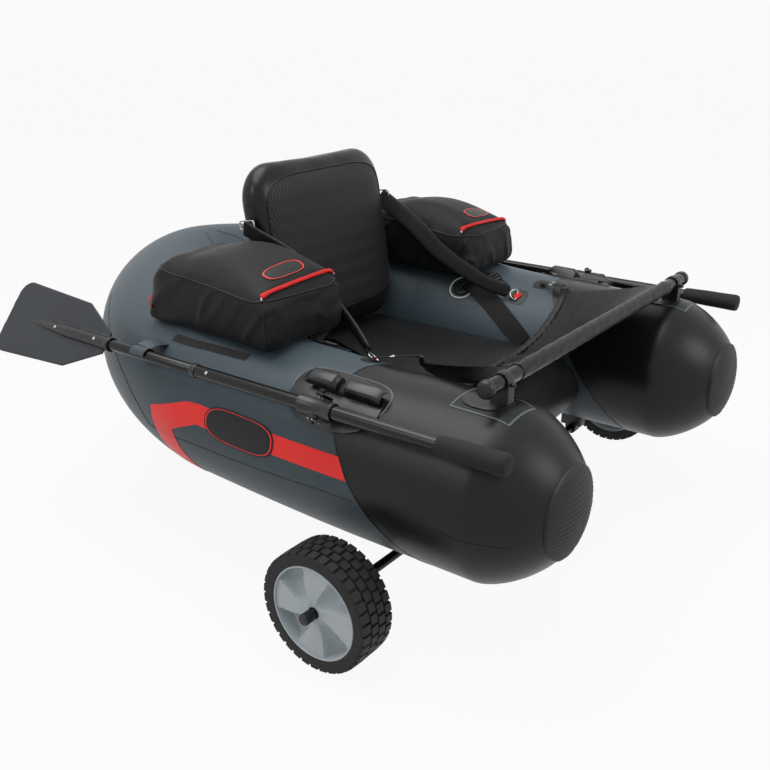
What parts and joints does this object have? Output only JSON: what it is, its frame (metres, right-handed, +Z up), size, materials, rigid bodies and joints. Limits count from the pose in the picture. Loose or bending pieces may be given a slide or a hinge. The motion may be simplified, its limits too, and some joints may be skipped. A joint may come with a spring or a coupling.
{
  "type": "inflatable fishing float tube",
  "caption": "U-shaped inflatable fishing float tube with seat, backrest, side bags, lap apron, stowed oars on pin oarlocks and a two-wheel trolley axle.",
  "frame": {"origin": "centre of the object's footprint on the ground, at the bottom of the bounding box", "axes": "+Z up, +Y towards the closed stern, +X towards the seated angler's left hand; the tube's open end and the wheels' end face -Y"},
  "size_m": [1.514, 1.6568, 0.883],
  "materials": {
    "grey_skin": "satin coated fabric",
    "black_skin": "satin coated fabric",
    "ribbed_rubber": "matt ribbed rubber",
    "bag_nylon": "woven nylon",
    "pad_skin": "coated fabric over padding",
    "webbing": "woven webbing",
    "coated_tube": "black coated aluminium tube",
    "moulded_plastic": "black moulded plastic",
    "grip_foam": "matt grip sleeve",
    "blade_plastic": "dark moulded plastic",
    "bright_steel": "bright steel",
    "red_tab": "red plastic",
    "valve_ring": "white plastic",
    "tyre_rubber": "matt tyre rubber",
    "rim_plastic": "light grey plastic"
  },
  "bodies": {
    "hull": {"stern_tube": "grey_skin", "pontoon_left": "grey_skin", "pontoon_right": "grey_skin", "bow_left": "black_skin", "bow_right": "black_skin", "nose_cap_left": "ribbed_rubber", "nose_cap_right": "ribbed_rubber", "seat_cushion": "pad_skin", "crossbar_tube": "coated_tube", "bar_plug_left": "moulded_plastic", "bar_plug_right": "moulded_plastic", "bar_clamp_left": "moulded_plastic", "bar_clamp_right": "moulded_plastic", "apron": "black_skin", "side_bag_left": "bag_nylon", "side_bag_right": "bag_nylon", "oarlock_base_left": "moulded_plastic", "oarlock_base_right": "moulded_plastic", "oar_keeper_left": "grey_skin", "oar_keeper_right": "grey_skin", "strap_ring_left": "bright_steel", "strap_ring_right": "bright_steel", "seat_web_left": "webbing", "seat_web_right": "webbing", "valve_left": "valve_ring", "valve_right": "valve_ring", "axle": "coated_tube", "axle_cap_left": "moulded_plastic", "axle_cap_right": "moulded_plastic", "axle_mount_left": "moulded_plastic", "axle_mount_right": "moulded_plastic"},
    "backrest": {"backrest": "pad_skin", "backrest_strap_left": "webbing", "backrest_strap_right": "webbing"},
    "oar_left": {"oarlock_swivel_left": "moulded_plastic", "thole_pin_left": "bright_steel", "retaining_clip_left": "bright_steel", "oar_collar_left": "moulded_plastic", "oar_shaft_left": "coated_tube", "oar_grip_left": "grip_foam", "blade_shaft_left": "coated_tube", "oar_blade_left": "blade_plastic"},
    "oar_right": {"oarlock_swivel_right": "moulded_plastic", "thole_pin_right": "bright_steel", "retaining_clip_right": "bright_steel", "oar_collar_right": "moulded_plastic", "oar_shaft_right": "coated_tube", "oar_grip_right": "grip_foam", "blade_shaft_right": "coated_tube", "oar_blade_right": "blade_plastic"},
    "button_left": {"oar_button_left": "bright_steel"},
    "button_right": {"oar_button_right": "bright_steel"},
    "wheel_left": {"tyre_left": "tyre_rubber", "rim_left": "rim_plastic"},
    "wheel_right": {"tyre_right": "tyre_rubber", "rim_right": "rim_plastic"},
    "zip_left": {"zip_slider_left": "red_tab"},
    "zip_right": {"zip_slider_right": "red_tab"},
    "valve_turn_left": {"valve_cap_left": "black_skin"},
    "valve_turn_right": {"valve_cap_right": "black_skin"}
  },
  "joints": [
    {"name": "wheel_left_roll", "type": "hinge", "parent": "hull", "child": "wheel_left", "pos_m": [0.691, -0.421, 0.13], "axis": [1, 0, 0], "continuous": true},
    {"name": "wheel_right_roll", "type": "hinge", "parent": "hull", "child": "wheel_right", "pos_m": [-0.691, -0.421, 0.13], "axis": [1, 0, 0], "continuous": true},
    {"name": "oar_left_swing", "type": "hinge", "parent": "hull", "child": "oar_left", "pos_m": [0.605, -0.3405, 0.504], "axis": [0.8192, 0, 0.5736], "range_deg": [-120, 0]},
    {"name": "oar_right_swing", "type": "hinge", "parent": "hull", "child": "oar_right", "pos_m": [-0.605, -0.3405, 0.504], "axis": [-0.8192, 0, 0.5736], "range_deg": [0, 120]},
    {"name": "button_left_press", "type": "slide", "parent": "oar_left", "child": "button_left", "axis": [-0.8192, 0, -0.5736], "range_m": [0, 0.003], "stiffness_N_per_m": 800},
    {"name": "button_right_press", "type": "slide", "parent": "oar_right", "child": "button_right", "axis": [0.8192, 0, -0.5736], "range_m": [0, 0.003], "stiffness_N_per_m": 800},
    {"name": "backrest_fold", "type": "hinge", "parent": "hull", "child": "backrest", "pos_m": [0, 0.066, 0.4296], "axis": [1, 0, 0], "range_deg": [0, 87], "deforming": ["backrest_strap_left", "backrest_strap_right"]},
    {"name": "zip_left_slide", "type": "slide", "parent": "hull", "child": "zip_left", "axis": [-1, 0, 0], "range_m": [0, 0.19]},
    {"name": "zip_right_slide", "type": "slide", "parent": "hull", "child": "zip_right", "axis": [1, 0, 0], "range_m": [0, 0.19]},
    {"name": "valve_left_turn", "type": "hinge", "parent": "hull", "child": "valve_turn_left", "pos_m": [0.30682, -0.09433, 0.50089], "axis": [-0.6561, -0.0474, 0.7532], "range_deg": [0, 90]},
    {"name": "valve_right_turn", "type": "hinge", "parent": "hull", "child": "valve_turn_right", "pos_m": [-0.30682, -0.09433, 0.50089], "axis": [0.6561, -0.0474, 0.7532], "range_deg": [0, 90]}
  ]
}
